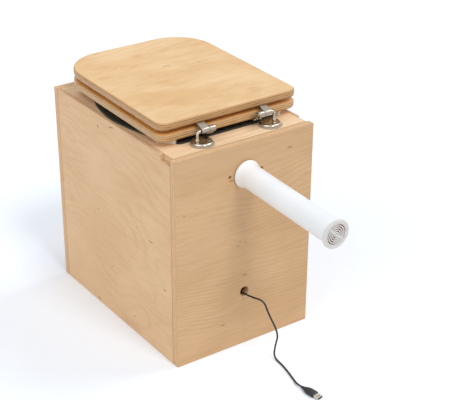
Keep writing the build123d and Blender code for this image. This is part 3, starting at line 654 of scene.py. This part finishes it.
class Pattern(Net):
    """A geometry tree that repeats something and then becomes a plain mesh."""

    def __init__(self, name, **inputs):
        super().__init__(bpy.data.node_groups.new(name, "GeometryNodeTree"))
        face = self.tree.interface
        face.new_socket(name="Geometry", in_out="INPUT", socket_type="NodeSocketGeometry")
        self.keys = {}
        for key, (kind, value) in inputs.items():
            made = face.new_socket(name=key, in_out="INPUT", socket_type="NodeSocket" + kind)
            self.keys[made.identifier] = value
        face.new_socket(name="Geometry", in_out="OUTPUT", socket_type="NodeSocketGeometry")
        self.entry = self.tree.nodes.new("NodeGroupInput")

    def given(self, name):
        return Signal(self, self.entry.outputs[name])

    def mesh(self, geometry, start, material):
        """Runs the tree on a start mesh and returns what it makes."""
        solid = self.add("GeometryNodeRealizeInstances", None, geometry)
        solid = self.add("GeometryNodeSetMaterial", None, Geometry=solid, Material=material)
        self.add("NodeGroupOutput", None, solid)
        host = placed(self.tree.name, start)
        live = host.modifiers.new("pattern", "NODES")
        live.node_group = self.tree
        for identifier, value in self.keys.items():
            live[identifier] = value
        host.update_tag()
        graph = bpy.context.evaluated_depsgraph_get()
        made = bpy.data.meshes.new_from_object(host.evaluated_get(graph))
        bpy.data.objects.remove(host)
        return made


def repeat(name, places, template, body, material, replaced, tilt=Matrix()):
    """Copies of a template shape at each place, as one piece."""
    source = placed(name + "_model", as_mesh(name + "_model", template))
    pattern = Pattern(name, Shape=("Object", source), Size=("Float", 1.0))
    shape = pattern.add("GeometryNodeObjectInfo", None, pattern.given("Shape")).pick("Geometry")
    points = bpy.data.meshes.new(name + "_places")
    points.from_pydata(places, [], [])
    copies = pattern.add("GeometryNodeInstanceOnPoints", None, Points=pattern.given("Geometry"),
                         Instance=shape, Scale=pattern.given("Size"))
    made = pattern.mesh(copies, points, material)
    bpy.data.objects.remove(source)
    made.transform(tilt)
    fit(name, made, body, material, replaced)


lid_pads = ((0.121, -0.120), (0.126, 0.095))
lid_pad_radius, lid_pad_high = 0.006, lid_under - seat_top - 0.0003
knob = [(0.0, 0.0), *rounded_corner(lid_pad_radius, 0.0, 0.0008, up=-1)[::-1]]
knob += [(lid_pad_radius, lid_pad_high), (0.0, lid_pad_high)]
at = [(seat_x + sign * x, y, lid_under - lid_pad_high) for side, sign in sides for x, y in lid_pads]
shape = skin(turned_loops(knob, steps=32))
repeat("lid_pads", at, shape, "lid", milky, "lid_bumpers", tilted)


# ---------------------------------------------------------------- screws
# Small bright screws with cross recesses hold the straps under seat and lid, and four longer
# ones the fan's guard, frame and gasket.
def screw(head_radius, head_high, shank_radius, shank_long, steps=32):
    """A screw that points up along +Z, head below, with a cross recess in the head."""
    recess, deep, off_arm, tip = head_radius * 0.62, head_high * 0.62, 0.704, head_high + shank_long
    profile = (
        (0.0, deep), (recess * 0.30, deep), (recess, deep * 0.35), (recess * 1.06, 0.0),
        (head_radius * 0.80, 0.0), (head_radius * 0.96, head_high * 0.28), (head_radius, head_high * 0.55),
        (head_radius, head_high), (shank_radius, head_high), (shank_radius, head_high + shank_long * 0.9),
        (shank_radius * 0.3, tip), (0.0, tip),
    )
    rows = turned_loops(profile, steps=steps)
    for (radius, height), row in zip(profile, rows):
        for i, p in enumerate(row):
            if 0.0 < radius <= recess and height > 0.0 and abs(sin(4 * pi * i / steps)) > off_arm:
                p.z = height * 0.06
    return skin(rows)


bright_steel = metal("screw_steel", colour(190, 188, 184), 0.25, wear=0.1)
leaf_screw_y, strap_middle = (0.134, 0.148), leaf_width / 2
strap_screw = (0.0036, 0.0012, 0.0019, 0.011)
for what, dx, under in (("seat", seat_leaf_dx, seat_under), ("lid", lid_leaf_dx, lid_under)):
    at = [(seat_x + sign * (hinge_dx + dx + strap_middle), y, under - strap_screw[1])
          for side, sign in sides for y in leaf_screw_y]
    repeat(what + "_strap_screws", at, screw(*strap_screw), what, bright_steel,
           what + "_leaf_screws", tilted)

# ---------------------------------------------------------------- cord
# A thin black two-core cord. It comes out of the cable hole, droops to the floor and runs on
# to its plug, as long as shown from end to end.
cord_radius, cord_length = 0.0018, 0.283
cord_route = (
    (0.0010, 0.2220, 0.1132), (-0.0006, 0.2430, 0.1150), (-0.0090, 0.2730, 0.1190),
    (-0.0135, 0.2820, 0.0930), (-0.0185, 0.3090, 0.0600), (-0.0175, 0.3010, 0.0300),
    (-0.0160, 0.2985, 0.0019), (-0.0135, 0.3310, 0.0019), (-0.0065, 0.3620, 0.0019),
    (-0.0010, 0.3830, 0.0019), (0.00374, 0.39662, 0.0041), (0.0020, 0.4090, 0.0041),
)
cord_curve = bpy.data.curves.new("cord", "CURVE")
cord_curve.dimensions = "3D"
cord_line = cord_curve.splines.new("NURBS")
cord_line.points.add(len(cord_route) - 1)
for point, where in zip(cord_line.points, cord_route):
    point.co = (*where, 1.0)
cord_line.order_u = 3
cord_line.use_endpoint_u = True
cord_line.resolution_u = 12
cord_curve.bevel_depth = cord_radius
cord_curve.bevel_resolution = 5
cord_curve.use_fill_caps = True
cord_skin = moulded("cord_rubber", colour(34, 31, 29), colour(26, 24, 23), grain=1400.0, Roughness=0.42)
cord_curve.materials.append(cord_skin)
cord = placed("cord", cord_curve)
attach(cord, "box")
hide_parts("usb_cord")
dress(cord_skin, "fan_lead")
black_plastic = moulded("black_plastic", colour(33, 32, 32), colour(26, 26, 26), Roughness=0.42)
dress(black_plastic, "lead_clips")


# ---------------------------------------------------------------- plug
# The cord ends in a moulded plug: a ribbed boot, a grip that widens to square shoulders, a
# folded metal shell with two windows on each broad side, and a contact tongue.
plug_at = Matrix.Translation(cord_route[-1]) @ Matrix.Rotation(radians(8.0), 4, "Z")
boot_long, boot_thin, boot_thick = 0.008, 0.0024, 0.0036
ribs = []
for i in range(41):
    t = i / 40
    groove = 0.0005 * max(0.0, sin(2 * pi * (t * 4 - 0.25))) if 0.12 < t < 0.95 else 0.0
    ribs.append((boot_thin + (boot_thick - boot_thin) * t - groove, boot_long * t))
shape = skin(turned_loops([(0.0, 0.0), *ribs, (0.0, boot_long)], steps=32, axis="Y"))
piece("plug_boot", shape, "box", black_plastic, "usb_boot", place=plug_at)

grip_sizes = (
    (0.0080, 0.0086, 0.0062), (0.0084, 0.0094, 0.0070), (0.0110, 0.0110, 0.0073), (0.0145, 0.0137, 0.0077),
    (0.0175, 0.0152, 0.0080), (0.0180, 0.0156, 0.0080), (0.0335, 0.0156, 0.0080), (0.0345, 0.0146, 0.0070),
)
loops = []
for y, width, height in grip_sizes:
    outline = rounded_rect(width, height, min(0.0024, height * 0.34), steps=6)
    loops.append([(x, y, z) for x, z in outline])
shape = skin(loops, capped=True)
piece("plug_grip", shape, "box", black_plastic, "usb_plug_body", sharp=30, place=plug_at)


def pierced(front, back, is_open):
    """Two skins of points, rows by columns, the columns closed round. Cells that is_open names are
    left out of both, and walls join the skins wherever a kept cell ends."""
    bm, rows, columns = bmesh.new(), len(front), len(front[0])

    def kept(j, i):
        return 0 <= j < rows - 1 and not is_open(j, i % columns)

    def quad(*points):
        bm.faces.new([bm.verts.new(p) for p in points])

    for j in range(rows - 1):
        for i in range(columns):
            if not kept(j, i):
                continue
            k = (i + 1) % columns
            quad(front[j][i], front[j][k], front[j + 1][k], front[j + 1][i])
            quad(back[j][i], back[j + 1][i], back[j + 1][k], back[j][k])
            for near_j, near_i, (ja, ia), (jb, ib) in (
                (j - 1, i, (j, i), (j, k)), (j + 1, i, (j + 1, k), (j + 1, i)),
                (j, i - 1, (j + 1, i), (j, i)), (j, i + 1, (j, k), (j + 1, k)),
            ):
                if not kept(near_j, near_i):
                    quad(front[ja][ia], back[ja][ia], back[jb][ib], front[jb][ib])
    return bm


shell_wide, shell_high, shell_long, shell_wall, shell_corner = 0.012, 0.0045, 0.0118, 0.0004, 0.0006
shell_start = 0.0345
shell_rows = [shell_start + y for y in (0.0, 0.0058, 0.0082, shell_long - 0.0004, shell_long)]
window_x, window_row = (0.0016, 0.0038), 1


def shell_outline(inset):
    """Cross-section of the shell with points at its windows' sides."""
    high = shell_high - 2 * inset
    points = rounded_rect(shell_wide - 2 * inset, high, shell_corner - inset, steps=4)
    stops = (window_x[1], window_x[0], -window_x[0], -window_x[1])
    half = len(points) // 2
    above, below = [(x, high / 2) for x in stops], [(-x, -high / 2) for x in stops]
    return points[:half] + above + points[half:] + below


def in_window(i):
    """Whether the outline runs along a window's edge from this point to the next."""
    ends = outer[i], outer[(i + 1) % len(outer)]
    low, high, flat_z = window_x[0] - 1e-6, window_x[1] + 1e-6, shell_high / 2 - 1e-6
    beside = all(low <= abs(x) <= high and abs(z) > flat_z for x, z in ends)
    return beside and ends[0][0] * ends[1][0] > 0


outer = shell_outline(0.0)
skins = [[[(x, y, z) for x, z in ring] for y in shell_rows] for ring in (outer, shell_outline(shell_wall))]
shape = pierced(*skins, lambda j, i: j == window_row and in_window(i))
plug_metal = metal("plug_shell", colour(206, 199, 186), 0.22, wear=0.1)
piece("plug_shell", shape, "box", plug_metal, "usb_shell", sharp=30, place=plug_at)

tongue_wide, tongue_high, tongue_long, tongue_up = 0.011, 0.0018, 0.011, 0.00085
loops = []
for out, inset in ((0.0001, 0.0), (tongue_long - 0.0003, 0.0), (tongue_long + 0.0001, 0.0003)):
    outline = rounded_rect(tongue_wide - 2 * inset, tongue_high - 2 * inset, 0.0002, steps=2)
    loops.append([(x, shell_start + out, z + tongue_up) for x, z in outline])
tongue_plastic = moulded("tongue_plastic", *colours((40, 40, 42), (30, 30, 32)), Roughness=0.5)
shape = skin(loops, capped=True)
piece("plug_tongue", shape, "box", tongue_plastic, "usb_tongue", place=plug_at)

# ---------------------------------------------------------------- vent pipe
# White extruded plastic pipe, belled to a collar at the panel, pushed into its hole and
# sagging a little under its own weight.
pipe_z, pipe_droop = 0.369, radians(2.85)
pipe_at = Matrix.Translation((0.0, 0.2237, pipe_z)) @ Matrix.Rotation(-pipe_droop, 4, "X")
pipe_outer, pipe_inner, pipe_in, pipe_out = 0.023, 0.021, -0.013, 0.252
flare_long, flare_lip, flare_deep = 0.020, 0.004, 0.004
flare = [(pipe_outer, 0.0), (0.0264, 0.0), (0.0270, 0.0004), (0.0275, 0.0016), (0.0274, 0.0030),
         (0.0270, flare_lip)]
for i in range(1, 15):
    y = flare_lip + (flare_long - flare_lip) * i / 14
    flare.append((pipe_outer + flare_deep * ((flare_long - y) / (flare_long - flare_lip)) ** 2.2, y))
tube = [(pipe_inner, pipe_in), (pipe_outer - 0.0003, pipe_in), (pipe_outer, pipe_in + 0.0003), *flare]
tube += [(pipe_outer, y / 1000) for y in range(30, 250, 20)]
tube += [(pipe_outer, pipe_out), (pipe_inner, pipe_out)]


def white_plastic(name, tint, shade, roughness, **gloss):
    """White extruded or moulded plastic: faint drawn lines along it and a soft unevenness."""
    plastic = Finish(name, tint, Roughness=roughness, Specular_IOR_Level=0.45, **gloss)
    xyz = plastic.parts(plastic.place)
    lines, drift = [plastic.noise(plastic.vector(xyz["X"] * fine, xyz["Y"] * long, xyz["Z"] * fine))
                    for fine, long in ((900.0, 6.0), (20.0, 12.0))]
    plastic.feed(Base_Color=plastic.mix(drift.within(0.3, 0.7), tint, shade))
    plastic.feed(Roughness=drift * 0.12 + (roughness - 0.06))
    plastic.bump(lines, 0.00004, 0.35)
    return plastic.material


pipe_plastic = white_plastic("pipe_plastic", *colours((246, 249, 252), (240, 244, 248)), 0.34)
shape = skin(turned_loops(tube, axis="Y"), closed=True)
piece("vent_pipe", shape, "box", pipe_plastic, "vent_pipe", sharp=40, place=pipe_at)

# ---------------------------------------------------------------- end cap and insect mesh
# A flanged cap closes the pipe. Ring slots go all round its face but for the bar that holds the
# rings, and a fine bronze mesh close behind them keeps insects out.
cap_plastic = white_plastic("cap_plastic", *colours((224, 223, 221), (217, 216, 213)), 0.42,
                            Subsurface_Weight=0.8, Subsurface_Radius=(1.0, 1.0, 1.0),
                            Subsurface_Scale=0.0025)
cap_radius, cap_thick, recess_radius, recess_deep, cap_round = 0.0273, 0.005, 0.0208, 0.0006, 0.0014
slot_radii, slot_wide, grille_thick = (0.0023, 0.00625, 0.0102, 0.01415, 0.0181), 0.0020, 0.003
bridge_wide, bridge_turn = 0.004, radians(41)
step_angle = 4
cap_front = pipe_out + cap_thick
floor_front = cap_front - recess_deep
floor_back = floor_front - grille_thick
collar_out, collar_in, collar_long = 0.0209, 0.0194, 0.010
turns = [radians(step_angle * i) for i in range(360 // step_angle)]
radii = [0.0]
for r in slot_radii:
    radii += [r - slot_wide / 2, r + slot_wide / 2]
radii += [collar_in, recess_radius]


def in_slot(j, i):
    """Whether a cell of the cap's face lies in a ring slot."""
    middle = (radii[j] + radii[j + 1]) / 2
    off_bridge = middle * abs(sin(turns[i] + radians(step_angle / 2) - bridge_turn))
    return off_bridge > bridge_wide / 2 and any(abs(middle - r) < slot_wide / 2 for r in slot_radii)


skins = [turned_loops([(r, y) for r in radii], steps=len(turns), axis="Y") for y in (floor_front, floor_back)]
shape = pierced(*skins, in_slot)
rim = [(recess_radius, pipe_out), (recess_radius, floor_back), (recess_radius, floor_front)]
rim += [(recess_radius, cap_front - 0.0004), (recess_radius + 0.0004, cap_front)]
rim += rounded_corner(cap_radius, cap_front, cap_round, steps=6)[::-1]
rim += rounded_corner(cap_radius, pipe_out, cap_round, up=-1, steps=6)
collar = [(collar_in, floor_back), (collar_in, pipe_out - collar_long),
          (collar_out, pipe_out - collar_long), (collar_out, floor_back)]
for profile in (rim, collar):
    skin(turned_loops(profile, steps=len(turns), axis="Y"), closed=True, bm=shape)
piece("vent_cap", shape, "box", cap_plastic, "vent_end_cap", sharp=35, place=pipe_at)

mesh_radius, mesh_pitch, wire_thick, mesh_wires, crossing_off = 0.019, 0.0012, 0.00045, 31, 0.00025
mesh_y, band_wide, band_thick = floor_back - 0.0009, 0.001, 0.0008
bronze = metal("mesh_bronze", colour(214, 118, 72), 0.45, wear=0.15)
band = [(mesh_radius - inset, mesh_y + rise) for inset, rise in
        ((band_wide, 0.0), (band_wide, band_thick), (0.0, band_thick), (0.0, 0.0))]
band = as_mesh("mesh_band", skin(turned_loops(band, steps=48, axis="Y"), closed=True))
weave = Pattern("insect_mesh", Radius=("Float", mesh_radius - 0.0003), Pitch=("Float", mesh_pitch),
                Wire=("Float", wire_thick), Level=("Float", mesh_y + band_thick / 2),
                Count=("Int", mesh_wires))
pitch, level = weave.given("Pitch"), weave.given("Level")
first = weave.add("CombineXYZ", None, pitch * (-(mesh_wires - 1) / 2), level, 0.0)
stride = weave.add("CombineXYZ", None, pitch, 0.0, 0.0)
row = weave.add("GeometryNodeMeshLine", {"mode": "OFFSET"}, Count=weave.given("Count"),
                Start_Location=first, Offset=stride)
across = weave.add("SeparateXYZ", None, weave.add("GeometryNodeInputPosition")).pick("X")
radius = weave.given("Radius")
reach = (radius * radius - across * across).math("SQRT") * 2.0
wire = weave.add("GeometryNodeMeshCylinder", None, Vertices=6, Radius=weave.given("Wire") / 2.0, Depth=1.0)
stretch = weave.add("CombineXYZ", None, 1.0, 1.0, reach)
uprights = weave.add("GeometryNodeInstanceOnPoints", None, Points=row, Instance=wire.pick("Mesh"),
                     Scale=stretch)
crossing = weave.add("GeometryNodeTransform", None, Geometry=uprights, Translation=(0.0, crossing_off, 0.0),
                     Rotation=(0.0, pi / 2, 0.0))
grid = weave.add("GeometryNodeJoinGeometry", None, (weave.given("Geometry"), uprights, crossing))
made = weave.mesh(grid, band, bronze)
made.transform(pipe_at)
fit("insect_mesh", made, "box", bronze, "insect_mesh")

# ---------------------------------------------------------------- fan
# Behind the pipe a square black fan sits on a rubber gasket, with a bright wire guard on its
# inner side and four screws through all of them.
fan_black, gasket_black = colours((36, 37, 39), (28, 29, 31)), colours((44, 44, 44), (34, 34, 34))
dress(moulded("fan_plastic", *fan_black, Roughness=0.45), "fan_frame", "fan_rotor")
dress(moulded("gasket_rubber", *gasket_black, grain=2200.0, Roughness=0.7), "fan_gasket")
dress(metal("guard_wire", colour(186, 184, 180), 0.25), "fan_guard")
fan_hole, screw_head_y, screw_tip_y, fan_head_high = 0.025, 0.1854, 0.215, 0.0025
shape = screw(0.0042, fan_head_high, 0.00185, screw_tip_y - screw_head_y - fan_head_high)
lying = Matrix.Rotation(radians(-90), 4, "X")
bmesh.ops.transform(shape, matrix=lying, verts=shape.verts)
at = [(x, screw_head_y, pipe_z + z) for x in (-fan_hole, fan_hole) for z in (-fan_hole, fan_hole)]
repeat("fan_screws", at, shape, "box", bright_steel, "fan_screws")

# ---------------------------------------------------------------- studs and wing nuts
# Below the board each hinge is held by a threaded steel stud and a black wing nut.
thread_pitch = 0.00125
stud = Finish("stud_steel", colour(182, 180, 176), Metallic=1.0, Roughness=0.3)
grime = stud.grain(200.0).within(0.4, 0.8) * 0.5
stud.feed(Base_Color=stud.mix(grime, *colours((182, 180, 176), (120, 116, 108))))
thread = (stud.parts(stud.place)["Z"] * (2 * pi / thread_pitch)).math("SINE") * 0.5 + 0.5
stud.bump(thread, 0.0004, 0.8)
dress(stud.material, "hinge_studs")
dress(moulded("nut_plastic", *colours((38, 38, 38), (30, 30, 30)), Roughness=0.5), "wing_nuts")

# ---------------------------------------------------------------- light and floor
# A bright even room with a soft lamp high up behind the box and one at each side, and a pale
# floor that keeps the shadow. What the camera and mirrors see beyond the object is white.
def direct_rays(net):
    """1 for the rays that should meet plain white: from the camera, a mirror or a clear body."""
    rays = net.add("LightPath")
    bounced = rays.pick("Is Glossy Ray").math("MAXIMUM", rays.pick("Is Transmission Ray"))
    return rays.pick("Is Camera Ray").math("MAXIMUM", bounced)


floor_reach, floor_drop = 7.0, 0.0002
floor_paint = Finish("floor", (0.90, 0.90, 0.90, 1.0), Roughness=1.0, Specular_IOR_Level=0.0)
pale = floor_paint.add("BsdfDiffuse", None, (1.02, 1.09, 1.19, 1.0))
paint = Signal(floor_paint, floor_paint.shader.outputs[0])
surface = floor_paint.add("MixShader", None, direct_rays(floor_paint), paint, pale)
output = next(n for n in floor_paint.tree.nodes if n.type == "OUTPUT_MATERIAL")
floor_paint.tree.links.new(surface.socket, output.inputs["Surface"])
floor_mesh = bpy.data.meshes.new("floor")
floor_corners = [(x * floor_reach, y * floor_reach, 0.0) for x, y in ((-1, -1), (1, -1), (1, 1), (-1, 1))]
floor_mesh.from_pydata(floor_corners, [], [(0, 1, 2, 3)])
floor_mesh.materials.append(floor_paint.material)
floor = placed("floor", floor_mesh)
floor.location.z = -floor_drop

world = bpy.data.worlds.new("room")
world.use_nodes = True
scene.world = world
room = Net(world.node_tree)
for old in list(room.tree.nodes):
    room.tree.nodes.remove(old)
lit = room.add("Background", None, (1.0, 1.0, 1.0, 1.0), 0.45)
white = room.add("Background", None, (1.0, 1.0, 1.0, 1.0), 1.0)
sky = room.add("MixShader", None, direct_rays(room), lit, white)
room.add("OutputWorld", None, sky)

for name, energy, angle, *away in (
    ("lamp_above_behind", 0.97, 20.0, -0.04, 0.62, 0.78),
    ("lamp_left", 0.75, 50.0, 0.76, 0.12, 0.62),
    ("lamp_right", 0.75, 26.0, -0.60, 0.08, 0.78),
):
    lamp = bpy.data.lights.new(name, "SUN")
    lamp.energy = energy
    lamp.angle = radians(angle)
    stand = placed(name, lamp)
    stand.rotation_mode = "QUATERNION"
    stand.rotation_quaternion = Vector(away).to_track_quat("Z", "Y")

scene.view_settings.view_transform = "Standard"
